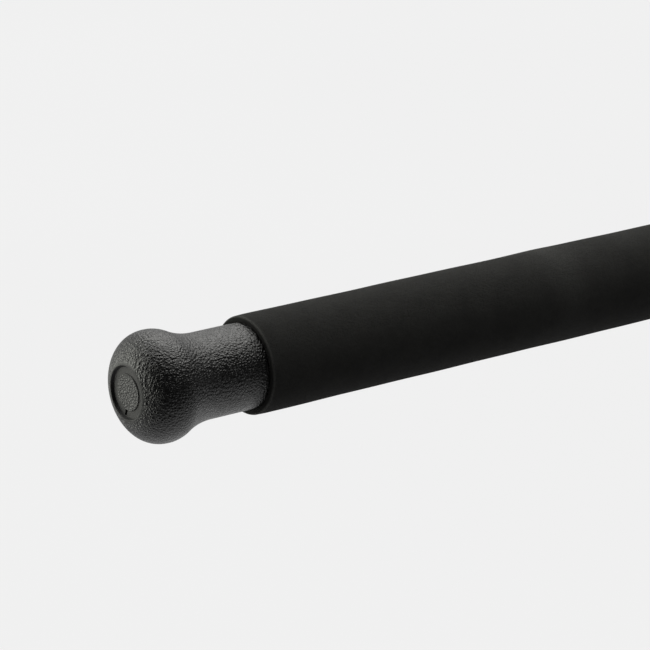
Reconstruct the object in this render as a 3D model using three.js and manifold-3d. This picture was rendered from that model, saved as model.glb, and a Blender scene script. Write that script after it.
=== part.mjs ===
// A telescopic golf swing trainer stick, in millimetres. The stick lies along +X from the handle to the
// tip, +Z is up, and the origin is the centre of the flat end disc in the handle knob.
//
// Handle: a 28 mm aluminium tube with a foam grip and a moulded knob, held by an expanding wedge.
// Extension: a 24 mm tube that slides in it, with a foam grip, the same knob and a steel tip weight.
// Lock: a collar on the handle tube, a split collet in its cone, and a twist nut that presses it home.

import * as THREE from "three";
import { mergeVertices } from "three/addons/utils/BufferGeometryUtils.js";
import Module from "manifold-3d";

const wasm = await Module();
wasm.setup();

// Driving dimensions.
const STICK_LENGTH = 650; // end disc to end disc, closed
const GRIP_RADIUS = 17;
const TUBE_RADIUS = 14;
const EXTENSION_RADIUS = 12;
const TUBE_WALL = 1.2;
const GRIP_START = 46.4; // from an end disc to the open mouth of the foam grip beside it
const MOUTH = { radius: 16.65, edge: 0.4, taper: 6 }; // how the foam narrows to its mouth
const HANDLE_GRIP_LENGTH = 280;
const TIP_GRIP_LENGTH = 134;
const SIDES = 32; // facets round a turned piece that shows
const INNER_SIDES = 24; // facets round one hidden inside
const GAP = 0.1; // between faces that meet
const SLIP = 0.25; // round a piece that slides or turns

const TUBE_BORE = TUBE_RADIUS - TUBE_WALL;
const EXTENSION_BORE = EXTENSION_RADIUS - TUBE_WALL;

// The knob: a bulb that flows through two arcs into a straight neck, and a spigot inside the tube.
const KNOB = {
  radius: 19,
  domeLength: 12.8, // half length of the superellipse that makes the front of the bulb
  domePower: 2.25, // its exponent: 2 would be a plain ellipse
  rimX: -0.65,
  rimRadius: 9.3,
  rimRoll: 0.35, // the broken edge between the dome and the recess
  recessX: 0.45, // floor of the smooth round recess
  recessRadius: 8.5,
  backRadius: 11.5, // convex arc behind the bulb
  throatRadius: 27.5, // concave arc into the neck
  neckRadius: 14.7,
  shoulderX: 54, // the tube butts here, inside the grip
  spigotX: 92,
  slotX: 69,
  coneX: 80,
  coneRadius: 8.8,
  holeRadius: 3.3,
  counterboreRadius: 5.6,
  seatX: 22,
};
const DISC = { thickness: 0.35, faceRadius: 6, radius: 6.3, stemX: 7, stemRadius: 5.3 };
const PRY_NOTCH = { radius: 7.4, length: 1.8, width: 1.1, depth: 0.6, turn: 0.2 };
const SCREW = { radius: 2.9, endX: 100, headRadius: 4.8, headLength: 4.2, socketDepth: 2.5 };

// Inner end of the extension, closed: the glide meets the lock collar after 300 mm of travel.
const EXTENSION = { stopX: 103, neckX: 113, tubeX: 130, flangeRadius: 12.2, neckRadius: 9.4 };

// Lock: the collar fixed on the handle tube, and the twist nut on its thread.
const COLLAR = {
  startX: 396,
  rivetX: 404,
  stopX: 413,
  threadX: 415.5,
  tubeEndX: 430,
  coneX: 440,
  faceX: 452,
  skirtRadius: 16.6,
  stopRadius: 18.2,
  threadRadius: 15.4,
  mouthRadius: 14.4,
};
const NUT = {
  startX: 416.2,
  pressX: 456.6, // inner shoulder that presses the thrust washer
  endX: 466,
  shellRadius: 17.1,
  flangeRadius: 18.4,
  flangeLength: 3.2,
  ribs: 24,
  ribDepth: 0.45,
};

// Materials.
const plastic = (color, roughness) => new THREE.MeshStandardMaterial({ color, roughness, metalness: 0 });
const metal = (color, roughness) => new THREE.MeshStandardMaterial({ color, roughness, metalness: 1 });

// A solid turned about +X. Its outline is [x, radius] points: the outside towards +X, then the inside
// back. An outline that never touches the axis is closed on itself.
function turned(outline, sides = SIDES) {
  const startsOnAxis = outline[0][1] === 0;
  const loop = startsOnAxis ? outline : [...outline, outline[0]];
  const points = loop.map(([x, r]) => new THREE.Vector2(r, x));
  return new THREE.LatheGeometry(points, sides).rotateZ(-Math.PI / 2);
}

// A plain ring from one x to another, with its outer corners broken where a bevel is given.
function ring(fromX, toX, inner, outer, bevel = 0, sides = SIDES) {
  const broken = [
    [fromX, outer - bevel],
    [fromX + bevel, outer],
    [toX - bevel, outer],
    [toX, outer - bevel],
  ];
  const square = [[fromX, outer], [toX, outer]];
  return turned([...(bevel ? broken : square), [toX, inner], [fromX, inner]], sides);
}

// A solid rod with broken corners.
function rod(fromX, toX, radius, bevel, sides = INNER_SIDES) {
  return turned([
    [fromX, 0],
    [fromX, radius - bevel],
    [fromX + bevel, radius],
    [toX - bevel, radius],
    [toX, radius - bevel],
    [toX, 0],
  ], sides);
}

// A round bar that points out from the axis at an angle about +X, from one radius to another.
function spoke(x, angle, fromRadius, toRadius, radius, sides = 12) {
  const bar = new THREE.CylinderGeometry(radius, radius, toRadius - fromRadius, sides);
  return bar.translate(0, (fromRadius + toRadius) / 2, 0).rotateX(angle).translate(x, 0, 0);
}

// Points along an arc about (x, r), angles in radians from +X towards +r, both ends included.
function arc(x, r, radiusX, radiusR, from, to, steps) {
  return Array.from({ length: steps + 1 }, (_, i) => {
    const angle = from + ((to - from) * i) / steps;
    return [x + radiusX * Math.cos(angle), r + radiusR * Math.sin(angle)];
  });
}

function solidOf(geometry) {
  const plain = geometry.clone().deleteAttribute("normal").deleteAttribute("uv");
  const merged = mergeVertices(plain, 1e-4);
  const vertProperties = new Float32Array(merged.attributes.position.array);
  const triVerts = new Uint32Array(merged.index.array);
  return new wasm.Manifold(new wasm.Mesh({ numProp: 3, vertProperties, triVerts }));
}

function geometryOf(solid) {
  const mesh = solid.getMesh();
  const geometry = new THREE.BufferGeometry();
  geometry.setAttribute("position", new THREE.BufferAttribute(mesh.vertProperties, 3));
  geometry.setIndex(new THREE.BufferAttribute(mesh.triVerts, 1));
  geometry.computeVertexNormals();
  return geometry;
}

const cut = (geometry, ...tools) =>
  geometryOf(tools.reduce((solid, tool) => solid.subtract(solidOf(tool)), solidOf(geometry)));

const join = (...geometries) => geometryOf(geometries.map(solidOf).reduce((a, b) => a.add(b)));

const stick = new THREE.Group();

function add(parent, name, geometry, material) {
  const mesh = new THREE.Mesh(geometry, material);
  mesh.name = name;
  parent.add(mesh);
}

// The outside of the knob from the recess rim to the straight neck. Its front is a superellipse: the
// powers of x / length and r / radius add up to one. The convex and concave arcs behind it meet on the
// line between their centres, so the outline has no corner there.
function bulbOutline() {
  const k = KNOB;
  const domeX = (r) => k.domeLength * (1 - (r / k.radius) ** k.domePower) ** (1 / k.domePower);
  const bulbX = k.rimX + domeX(k.rimRadius);
  const rimAngle = Math.asin(k.rimRadius / k.radius);
  const domeSteps = 7;
  const front = Array.from({ length: domeSteps + 1 }, (_, i) => {
    const r = k.radius * Math.sin(rimAngle + ((Math.PI / 2 - rimAngle) * i) / domeSteps);
    return [bulbX - domeX(Math.min(r, k.radius)), r];
  });
  const backR = k.radius - k.backRadius;
  const throatR = k.neckRadius + k.throatRadius;
  const rise = throatR - backR;
  const run = Math.sqrt((k.backRadius + k.throatRadius) ** 2 - rise ** 2);
  const lean = Math.atan2(rise, run);
  const back = arc(bulbX, backR, k.backRadius, k.backRadius, Math.PI / 2, lean, 3);
  const throatX = bulbX + run;
  const throat = arc(throatX, throatR, k.throatRadius, k.throatRadius, Math.PI + lean, 1.5 * Math.PI, 3);
  return [...front, ...back.slice(1), ...throat.slice(1)];
}

// Knob, end disc, screw, washer and wedge nut at the end at x = 0 of a tube of the given bore.
function addEndFitting(parent, prefix, tubeBore) {
  const k = KNOB;
  const spigotRadius = tubeBore - 0.3;
  const knob = turned([
    ...bulbOutline(),
    [k.shoulderX, k.neckRadius],
    [k.shoulderX, spigotRadius],
    [k.spigotX - 0.8, spigotRadius],
    [k.spigotX, spigotRadius - 0.8],
    [k.spigotX, k.coneRadius],
    [k.coneX, k.holeRadius + 1.2],
    [k.coneX, k.holeRadius],
    [k.seatX, k.holeRadius],
    [k.seatX, k.counterboreRadius],
    [k.recessX, k.counterboreRadius],
    [k.recessX, k.recessRadius],
    [k.rimX + k.rimRoll, k.rimRadius - k.rimRoll],
  ]);
  const slotEnd = k.spigotX + 1;
  const slot = new THREE.BoxGeometry(slotEnd - k.slotX, 2 * TUBE_RADIUS, 1.6);
  slot.translate((k.slotX + slotEnd) / 2, 0, 0);
  const crossSlot = slot.clone().rotateX(Math.PI / 2);
  const n = PRY_NOTCH;
  const pryNotch = new THREE.BoxGeometry(2 * n.depth, n.width, n.length);
  pryNotch.translate(k.recessX, 0, -n.radius).rotateX(n.turn);
  add(parent, `${prefix}_knob`, cut(knob, slot, crossSlot, pryNotch), plastic(0x1d1d1e, 0.5));

  const d = DISC;
  const disc = turned([
    [0, 0],
    [0, d.faceRadius],
    [d.thickness, d.radius],
    [d.thickness, d.stemRadius],
    [d.stemX - 0.6, d.stemRadius],
    [d.stemX, d.stemRadius - 0.6],
    [d.stemX, 0],
  ]);
  add(parent, `${prefix}_end_disc`, disc, plastic(0x1f1f20, 0.55));

  const washerEnd = k.seatX - GAP;
  const washerStart = washerEnd - 1.2;
  const washer = ring(washerStart, washerEnd, k.holeRadius, k.counterboreRadius - SLIP, 0, INNER_SIDES);
  add(parent, `${prefix}_knob_washer`, washer, metal(0xa6a8ab, 0.3));

  const s = SCREW;
  const headEnd = washerStart - GAP;
  const headStart = headEnd - s.headLength;
  const screw = turned([
    [headStart, 0],
    [headStart, s.headRadius - 0.8],
    [headStart + 0.8, s.headRadius],
    [headEnd, s.headRadius],
    [headEnd, s.radius],
    [s.endX - 0.6, s.radius],
    [s.endX, s.radius - 0.6],
    [s.endX, 0],
  ], INNER_SIDES);
  const socket = new THREE.CylinderGeometry(2.9, 2.9, 2 * s.socketDepth, 6);
  socket.rotateZ(Math.PI / 2).translate(headStart, 0, 0);
  add(parent, `${prefix}_knob_screw`, cut(screw, socket), metal(0x55575a, 0.4));

  const coneSlope = (k.coneRadius - k.holeRadius - 1.2) / (k.spigotX - k.coneX);
  const noseX = k.coneX + 3;
  const tailX = k.spigotX + 6;
  const wedge = turned([
    [noseX, k.holeRadius + 1.2 + coneSlope * 3 - GAP],
    [k.spigotX, k.coneRadius - GAP],
    [k.spigotX + 0.4, k.coneRadius + 1],
    [tailX, k.coneRadius + 1],
    [tailX, s.radius + GAP],
    [noseX, s.radius + GAP],
  ], INNER_SIDES);
  add(parent, `${prefix}_wedge_nut`, wedge, metal(0x8d8f92, 0.4));
}

// A foam sleeve that narrows a little to its cut mouth, which stands clear of the knob's neck. Its other
// end is rolled.
function addGrip(parent, prefix, length, bore) {
  const roll = 1.6;
  const endX = GRIP_START + length;
  const mouthBore = KNOB.neckRadius + 0.6;
  const neckEnd = KNOB.shoulderX + 1.5;
  const sleeve = turned([
    [GRIP_START, MOUTH.radius - MOUTH.edge],
    [GRIP_START + MOUTH.edge, MOUTH.radius],
    [GRIP_START + MOUTH.taper / 2, (MOUTH.radius + 2 * GRIP_RADIUS) / 3],
    [GRIP_START + MOUTH.taper, GRIP_RADIUS],
    ...arc(endX - roll, GRIP_RADIUS - roll, roll, roll, Math.PI / 2, 0, 3),
    [endX, bore],
    [neckEnd + 1, bore],
    [neckEnd, mouthBore],
    [GRIP_START, mouthBore],
  ]);
  add(parent, `${prefix}_grip`, sleeve, plastic(0x171816, 0.95));
}

// Handle: knob fitting, tube, grip, and the fixed half of the lock.
function addHandle(parent) {
  const c = COLLAR;
  addEndFitting(parent, "handle", TUBE_BORE);
  addGrip(parent, "handle", HANDLE_GRIP_LENGTH, TUBE_RADIUS + GAP);

  const rivetAngles = [0, Math.PI];
  const drill = (angle) => spoke(c.rivetX, angle, TUBE_BORE - 2, c.skirtRadius + 3, 1.7);
  const rivetHoles = rivetAngles.map(drill);
  const tube = ring(KNOB.shoulderX + GAP, c.tubeEndX, TUBE_BORE, TUBE_RADIUS);
  add(parent, "handle_tube", cut(tube, ...rivetHoles), metal(0x2c2d2f, 0.4));

  const seat = TUBE_RADIUS + GAP;
  const guide = EXTENSION_RADIUS + SLIP;
  const collar = turned([
    [c.startX, c.skirtRadius - 0.8],
    [c.startX + 0.8, c.skirtRadius],
    [c.stopX - 2.2, c.skirtRadius],
    [c.stopX, c.stopRadius],
    [c.threadX - 0.4, c.stopRadius],
    [c.threadX, c.stopRadius - 0.4],
    [c.threadX, c.threadRadius],
    [c.faceX - 0.5, c.threadRadius],
    [c.faceX, c.threadRadius - 0.5],
    [c.faceX, c.mouthRadius],
    [c.coneX, guide],
    [c.tubeEndX + GAP, guide],
    [c.tubeEndX + GAP, seat],
    [c.startX, seat],
  ]);
  add(parent, "lock_collar", cut(collar, ...rivetHoles), plastic(0x1a1a1b, 0.45));

  rivetAngles.forEach((angle, i) => {
    const shank = spoke(c.rivetX, angle, TUBE_BORE + 0.15, c.skirtRadius + 0.5, 1.5);
    const head = spoke(c.rivetX, angle, c.skirtRadius + 0.1, c.skirtRadius + 1, 2.8, 16);
    add(parent, `lock_rivet_${i + 1}`, join(shank, head), metal(0x9b9da0, 0.35));
  });

  const colletBore = EXTENSION_RADIUS + 0.15;
  const slope = (c.mouthRadius - guide) / (c.faceX - c.coneX);
  const colletStart = c.coneX + 2.5;
  const colletEnd = NUT.pressX - 1.5;
  const collet = turned([
    [colletStart, guide + slope * 2.5 - 0.15],
    [c.faceX, c.mouthRadius - 0.15],
    [colletEnd, c.mouthRadius - 0.15],
    [colletEnd, colletBore],
    [colletStart, colletBore],
  ]);
  const split = new THREE.BoxGeometry(30, 1.2, 8).translate(colletEnd - 10, 0, colletBore + 2);
  add(parent, "lock_collet", cut(collet, split), plastic(0xd9d8d2, 0.5));
}

// The steel washer that the nut carries along without turning it.
function addThrustWasher(parent) {
  const end = NUT.pressX - GAP;
  const washer = ring(end - 1.2, end, EXTENSION_RADIUS + SLIP, COLLAR.threadRadius - 0.2);
  add(parent, "lock_thrust_washer", washer, metal(0xa6a8ab, 0.3));
}

// The twist nut, its ribbed soft band, and the ring that wipes the extension tube.
function addTwistNut(parent) {
  const n = NUT;
  const threadBore = COLLAR.threadRadius + SLIP;
  const lip = EXTENSION_RADIUS + 0.4;
  const groove = { start: n.pressX + 2.4, end: n.pressX + 5.6, radius: 14.2 };
  const bandStart = n.startX + n.flangeLength;
  const bandEnd = n.pressX - 2;
  const shell = turned([
    [n.startX, n.flangeRadius - 0.6],
    [n.startX + 0.6, n.flangeRadius],
    [bandStart, n.flangeRadius],
    [bandStart, n.shellRadius],
    [bandEnd, n.shellRadius],
    [bandEnd, n.flangeRadius],
    [n.endX - 6, n.flangeRadius],
    [n.endX - 4.5, n.flangeRadius - 0.6],
    [n.endX, 15],
    [n.endX, lip + 0.6],
    [n.endX - 0.6, lip],
    [groove.end, lip],
    [groove.end, groove.radius],
    [groove.start, groove.radius],
    [groove.start, lip],
    [n.pressX, lip],
    [n.pressX, threadBore],
    [n.startX, threadBore],
  ]);
  add(parent, "lock_nut", shell, plastic(0x1a1a1b, 0.45));

  const pointsPerRib = 4;
  const count = n.ribs * pointsPerRib;
  const onCircle = (radius, angle) => new THREE.Vector2(radius * Math.cos(angle), radius * Math.sin(angle));
  const ribbed = Array.from({ length: count }, (_, i) => {
    const angle = (2 * Math.PI * i) / count;
    const depth = (n.ribDepth * (1 - Math.cos(n.ribs * angle))) / 2;
    return onCircle(n.flangeRadius - 0.05 - depth, angle);
  });
  const bore = Array.from({ length: SIDES }, (_, i) =>
    onCircle(n.shellRadius + GAP, (-2 * Math.PI * i) / SIDES));
  const outline = new THREE.Shape(ribbed);
  outline.holes.push(new THREE.Path(bore));
  const depth = bandEnd - bandStart - 2 * GAP;
  const band = new THREE.ExtrudeGeometry(outline, { depth, bevelEnabled: false });
  band.rotateY(Math.PI / 2).translate(bandStart + GAP, 0, 0);
  add(parent, "lock_nut_grip", band, plastic(0x121212, 0.85));

  const wiperBore = EXTENSION_RADIUS + 0.15;
  const wiper = ring(groove.start + GAP, groove.end - GAP, wiperBore, groove.radius - GAP, 0.5);
  add(parent, "lock_dust_ring", wiper, plastic(0x121212, 0.85));
}

// The split acetal ring that runs in the handle tube, on the neck of the extension's stop.
function addGlide(parent) {
  const e = EXTENSION;
  const start = e.neckX + GAP;
  const end = e.tubeX - GAP;
  const radius = TUBE_BORE - 0.15;
  const glide = ring(start, end, e.neckRadius + SLIP, radius, 0, INNER_SIDES);
  const split = new THREE.BoxGeometry(30, 1, 8).translate((start + end) / 2, 0, radius);
  add(parent, "extension_glide", cut(glide, split), plastic(0xd9d8d2, 0.5));
}

// Extension: stop, tube, tip weight, grip and the tip's knob fitting.
function addExtension(parent) {
  const e = EXTENSION;
  const stemRadius = EXTENSION_BORE - 0.1;
  const pinAngles = [0, Math.PI];
  const pinX = e.tubeX + 9;
  const drill = (angle) => spoke(pinX, angle, stemRadius - 3.2, EXTENSION_RADIUS + 1, 1.4);
  const pinHoles = pinAngles.map(drill);
  const tubeEnd = STICK_LENGTH - KNOB.shoulderX - GAP;
  const tube = ring(e.tubeX, tubeEnd, EXTENSION_BORE, EXTENSION_RADIUS);
  add(parent, "extension_tube", cut(tube, ...pinHoles), metal(0xb4b6b9, 0.3));

  const stop = turned([
    [e.stopX, e.flangeRadius - 1],
    [e.stopX + 1, e.flangeRadius],
    [e.neckX, e.flangeRadius],
    [e.neckX, e.neckRadius],
    [e.tubeX, e.neckRadius],
    [e.tubeX, stemRadius],
    [e.tubeX + 18, stemRadius],
    [e.tubeX + 18, 4],
    [e.stopX, 4],
  ], INNER_SIDES);
  add(parent, "extension_stop", cut(stop, ...pinHoles), plastic(0x3a3b3c, 0.5));
  pinAngles.forEach((angle, i) => {
    const pin = spoke(pinX, angle, stemRadius - 3, EXTENSION_RADIUS - 0.1, 1.2);
    add(parent, `stop_pin_${i + 1}`, pin, metal(0x9b9da0, 0.35));
  });

  const weightStart = 424;
  const weightEnd = 544;
  add(parent, "tip_weight", rod(weightStart, weightEnd, EXTENSION_BORE - 0.4, 1), metal(0x77797c, 0.4));
  const plug = ring(weightStart - 9, weightStart - GAP, 3, EXTENSION_BORE - GAP, 0, INNER_SIDES);
  add(parent, "weight_plug", plug, plastic(0xd9d8d2, 0.5));
  const padEnd = STICK_LENGTH - SCREW.endX - GAP;
  const pad = ring(weightEnd + GAP, padEnd, 3, EXTENSION_BORE - 0.3, 0, INNER_SIDES);
  add(parent, "weight_pad", pad, plastic(0x161616, 0.9));

  const tip = new THREE.Group();
  tip.position.x = STICK_LENGTH;
  tip.rotation.z = Math.PI;
  parent.add(tip);
  addEndFitting(tip, "tip", EXTENSION_BORE);
  addGrip(tip, "tip", TIP_GRIP_LENGTH, EXTENSION_RADIUS + GAP);
}

addHandle(stick);
addThrustWasher(stick);
addTwistNut(stick);
addGlide(stick);
addExtension(stick);

export default stick;
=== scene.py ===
"""A telescopic golf swing trainer stick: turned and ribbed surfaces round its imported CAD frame.

The stick lies along +X. Every turned piece is a profile of (x, radius) points carried round the X axis.
"""

import math

import bpy
import bmesh
import numpy as np
from bpy.props import FloatProperty, FloatVectorProperty, IntProperty, PointerProperty
from mathutils import Matrix, Vector


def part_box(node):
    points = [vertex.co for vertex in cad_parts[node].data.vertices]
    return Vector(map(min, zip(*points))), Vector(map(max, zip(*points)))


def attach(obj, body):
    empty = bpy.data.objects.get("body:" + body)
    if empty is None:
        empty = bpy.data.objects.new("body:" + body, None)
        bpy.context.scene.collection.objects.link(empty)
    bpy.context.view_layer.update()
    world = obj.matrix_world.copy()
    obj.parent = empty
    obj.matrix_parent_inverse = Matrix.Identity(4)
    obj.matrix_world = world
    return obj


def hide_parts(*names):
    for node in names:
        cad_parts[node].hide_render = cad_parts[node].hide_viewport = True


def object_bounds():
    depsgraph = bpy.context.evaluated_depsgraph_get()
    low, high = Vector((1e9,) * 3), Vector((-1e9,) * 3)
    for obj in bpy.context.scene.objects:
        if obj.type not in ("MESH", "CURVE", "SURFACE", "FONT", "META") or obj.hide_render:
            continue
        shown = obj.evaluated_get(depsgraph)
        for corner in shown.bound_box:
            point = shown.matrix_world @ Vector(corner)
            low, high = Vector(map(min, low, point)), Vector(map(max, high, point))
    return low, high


bl_info = {
    "name": "Swing trainer stick",
    "version": (1, 0, 0),
    "blender": (4, 5, 0),
    "location": "3D View > Sidebar > Stick",
    "description": "Builds the visible surfaces of a telescopic swing trainer stick",
    "category": "Object",
}

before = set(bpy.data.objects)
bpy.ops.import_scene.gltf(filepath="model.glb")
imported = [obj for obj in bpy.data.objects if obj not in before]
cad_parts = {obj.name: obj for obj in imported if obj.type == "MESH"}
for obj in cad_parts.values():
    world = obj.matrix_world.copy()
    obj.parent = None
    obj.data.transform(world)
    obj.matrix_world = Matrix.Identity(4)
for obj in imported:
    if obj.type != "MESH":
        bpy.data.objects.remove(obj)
CAD_BOX = [list(corner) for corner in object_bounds()]
MM = 0.001
ENDS = (("handle", "handle"), ("tip", "extension"))  # each end's name and the body that carries it
TUBE_WALL = 1.2 * MM
TUBE_SLIP = 0.1 * MM  # clearance between a tube and the pieces round it
SHARP_EDGE = math.radians(50)
MERGE_DISTANCE = 1e-7
ROUNDING = 1e-9  # so that a length of exactly one step isn't divided


def span(node):
    """First x, last x and largest radius of a CAD node turned about the X axis."""
    low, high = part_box(node)
    return low[0], high[0], max(high[1], -low[1], high[2], -low[2])


STICK_LENGTH = span("tip_end_disc")[1]


def span_from_end(node, at_tip):
    """A node's span, with x measured from the end of the stick that it belongs to."""
    low, high, radius = span(node)
    return (STICK_LENGTH - high, STICK_LENGTH - low, radius) if at_tip else (low, high, radius)


def turn_to_tip(points):
    """Points turned half round Z to the other end of the stick: x becomes length - x, and y becomes -y."""
    return np.array([STICK_LENGTH, 0, 0]) + points * np.array([-1, -1, 1])


# Sizes and colours that a user would change.


class KnobSettings(bpy.types.PropertyGroup):
    rim_radius: FloatProperty(
        name="Rim radius",
        description="Radius of the edge round the recess in the knob's end",
        default=9.3 * MM,
        unit="LENGTH",
    )
    recess_radius: FloatProperty(
        name="Recess radius",
        description="Radius of the recess where its wall meets its floor",
        default=8.6 * MM,
        unit="LENGTH",
    )
    recess_depth: FloatProperty(
        name="Recess depth",
        description="From the rim to the smooth floor round the end disc",
        default=0.95 * MM,
        unit="LENGTH",
    )
    dome_length: FloatProperty(
        name="Dome length",
        description="Half length of the superellipse that makes the front of the bulb",
        default=12.8 * MM,
        unit="LENGTH",
    )
    dome_power: FloatProperty(
        name="Dome power",
        description="Exponent of that superellipse; 2 makes a plain ellipse",
        default=2.25,
    )
    back_radius: FloatProperty(
        name="Back radius",
        description="Radius of the convex arc behind the bulb",
        default=11.5 * MM,
        unit="LENGTH",
    )
    throat_radius: FloatProperty(
        name="Throat radius",
        description="Radius of the concave arc that runs into the neck",
        default=27.5 * MM,
        unit="LENGTH",
    )
    neck_radius: FloatProperty(
        name="Neck radius",
        description="Radius of the straight neck that enters the foam grip",
        default=14.7 * MM,
        unit="LENGTH",
    )
    grain_size: FloatProperty(
        name="Grain size",
        description="Width of one cell of the leather grain",
        default=0.9 * MM,
        unit="LENGTH",
    )
    colour: FloatVectorProperty(
        name="Plastic colour",
        description="Colour of the moulded plastic",
        default=(0.0032, 0.0032, 0.0031),
        subtype="COLOR",
    )


class GripSettings(bpy.types.PropertyGroup):
    mouth_clearance: FloatProperty(
        name="Mouth clearance",
        description="Open gap between the foam's mouth and the knob's neck",
        default=0.12 * MM,
        unit="LENGTH",
    )
    mouth_radius: FloatProperty(
        name="Mouth radius",
        description="Outer radius of the foam at its cut mouth, where it is a little narrower",
        default=16.85 * MM,
        unit="LENGTH",
    )
    mouth_taper: FloatProperty(
        name="Mouth taper",
        description="Length over which the foam narrows to its mouth",
        default=4 * MM,
        unit="LENGTH",
    )
    unevenness: FloatProperty(
        name="Unevenness",
        description="Height of the soft waves in the foam's surface",
        default=0.1 * MM,
        unit="LENGTH",
    )
    pore_size: FloatProperty(
        name="Pore size",
        description="Width of the foam's finest pores",
        default=0.3 * MM,
        unit="LENGTH",
    )
    colour: FloatVectorProperty(
        name="Foam colour",
        description="Colour of the closed-cell foam",
        default=(0.0395, 0.0395, 0.0378),
        subtype="COLOR",
    )


class TubeSettings(bpy.types.PropertyGroup):
    edge_break: FloatProperty(
        name="Edge break",
        description="Radius of the broken edges at the ends of each tube",
        default=0.25 * MM,
        unit="LENGTH",
    )
    mark_spacing: FloatProperty(
        name="Mark spacing",
        description="Distance between the setting rings turned in the extension tube",
        default=50 * MM,
        unit="LENGTH",
    )
    mark_depth: FloatProperty(
        name="Mark depth",
        description="Depth of each setting ring",
        default=0.15 * MM,
        unit="LENGTH",
    )


class LockSettings(bpy.types.PropertyGroup):
    ribs: IntProperty(
        name="Ribs",
        description="Ribs round the soft band of the twist nut",
        default=24,
        min=8,
        max=48,
    )
    rib_depth: FloatProperty(
        name="Rib depth",
        description="Depth of the flutes between the ribs",
        default=0.6 * MM,
        unit="LENGTH",
    )
    colour: FloatVectorProperty(
        name="Nylon colour",
        description="Colour of the collar and the twist nut",
        default=(0.015, 0.015, 0.016),
        subtype="COLOR",
    )


class StageSettings(bpy.types.PropertyGroup):
    floor_drop: FloatProperty(
        name="Floor drop",
        description="How far the floor lies below the stick, which a hand holds up",
        default=0.32,
        unit="LENGTH",
    )
    overhead_power: FloatProperty(
        name="Overhead light",
        description="Power of the large soft light above the stick",
        default=30.0,
        unit="POWER",
    )
    side_power: FloatProperty(
        name="Side light",
        description="Power of the upright soft light behind the handle's end",
        default=20.0,
        unit="POWER",
    )


GROUPS = {
    "stick_knob": KnobSettings,
    "stick_grip": GripSettings,
    "stick_tube": TubeSettings,
    "stick_lock": LockSettings,
    "stick_stage": StageSettings,
}


# Profiles and surfaces.


def arc(centre, radii, start, end, steps):
    """Points c + (a cos t, b sin t), t from start to end: centre c, radius a along X and b outwards."""
    t = np.linspace(start, end, steps + 1)
    return np.column_stack([centre[0] + radii[0] * np.cos(t), centre[1] + radii[1] * np.sin(t)])


def filleted(corners, steps=6):
    """A closed outline through (x, r, fillet) corners, listed outside first towards +X.

    At each corner an arc touches both straight sides. Its ends lie fillet / tan(half the angle between
    the sides) from the corner, and its centre lies on the bisector at fillet / sin(half the angle).
    """
    corners = np.array(corners)
    p, fillet = corners[:, :2], corners[:, 2]
    before = np.roll(p, 1, axis=0) - p
    after = np.roll(p, -1, axis=0) - p
    before /= np.linalg.norm(before, axis=1)[:, None]
    after /= np.linalg.norm(after, axis=1)[:, None]
    half = np.arccos(np.clip((before * after).sum(1), -1, 1)) / 2
    bisector = before + after
    bisector /= np.linalg.norm(bisector, axis=1)[:, None]
    centre = p + bisector * (fillet / np.sin(half))[:, None]
    start = p + before * (fillet / np.tan(half))[:, None] - centre
    end = p + after * (fillet / np.tan(half))[:, None] - centre
    first = np.arctan2(start[:, 1], start[:, 0])
    turn = (np.arctan2(end[:, 1], end[:, 0]) - first + np.pi) % (2 * np.pi) - np.pi
    t = first[:, None] + turn[:, None] * np.linspace(0, 1, steps + 1)[None, :]
    ring = np.stack([np.cos(t), np.sin(t)], axis=2) * fillet[:, None, None] + centre[:, None, :]
    return ring.reshape(-1, 2)


def stations(profile, longest):
    """The profile with its long straight steps divided evenly, so no step is longer than longest."""
    closed = np.vstack([profile, profile[:1]])
    length = np.linalg.norm(np.diff(closed, axis=0), axis=1)
    counts = np.maximum(1, np.ceil(length / longest - ROUNDING)).astype(int)
    index = np.repeat(np.arange(len(profile)), counts)
    offset = np.arange(counts.sum()) - np.repeat(np.cumsum(counts) - counts, counts)
    part = (offset / counts[index])[:, None]
    return closed[index] * (1 - part) + closed[index + 1] * part


def surface(name, points, closed_profile=True):
    """A mesh over a grid of points [profile step, turn step], closed round the axis.

    Each face joins a point to the next one round, and both to the next ones along. The profile also
    closes on itself, or else its two ends lie on the axis and each becomes one pole.
    """
    along, around = points.shape[:2]
    rows = along if closed_profile else along - 1
    i, j = np.meshgrid(np.arange(rows), np.arange(around), indexing="ij")
    i_next, j_next = (i + 1) % along, (j + 1) % around
    faces = np.stack(
        [i * around + j, i * around + j_next, i_next * around + j_next, i_next * around + j], axis=2
    ).reshape(-1, 4)
    mesh = bpy.data.meshes.new(name)
    mesh.from_pydata(points.reshape(-1, 3).tolist(), [], faces.tolist())
    work = bmesh.new()
    work.from_mesh(mesh)
    bmesh.ops.remove_doubles(work, verts=work.verts, dist=MERGE_DISTANCE)
    work.to_mesh(mesh)
    work.free()
    mesh.shade_smooth()
    mesh.set_sharp_from_angle(angle=SHARP_EDGE)
    piece = bpy.data.objects.new(name, mesh)
    bpy.context.scene.collection.objects.link(piece)
    return piece


def turned(name, profile, sides, relief=None, sink=None, closed_profile=True, at_tip=False):
    """The profile's (x, r) carried round X: (x, r cos t, r sin t), t in equal steps over a full turn.

    relief(x, r, t) is added to r and sink(x, r, t) to x. at_tip turns the piece half round Z to the
    stick's other end.
    """
    t = np.arange(sides) * 2 * np.pi / sides
    x = np.repeat(profile[:, :1], sides, axis=1)
    r = np.repeat(profile[:, 1:], sides, axis=1)
    if relief is not None:
        r = r + relief(x, r, t[None, :])
    if sink is not None:
        x = x + sink(x, r, t[None, :])
    points = np.stack([x, r * np.cos(t), r * np.sin(t)], axis=2)
    return surface(name, turn_to_tip(points) if at_tip else points, closed_profile)


def mark_vertices(piece, name, values):
    """A number on each vertex that the piece's material reads by name."""
    layer = piece.data.attributes.new(name, "FLOAT", "POINT")
    layer.data.foreach_set("value", np.asarray(values, dtype=np.float32))


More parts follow.
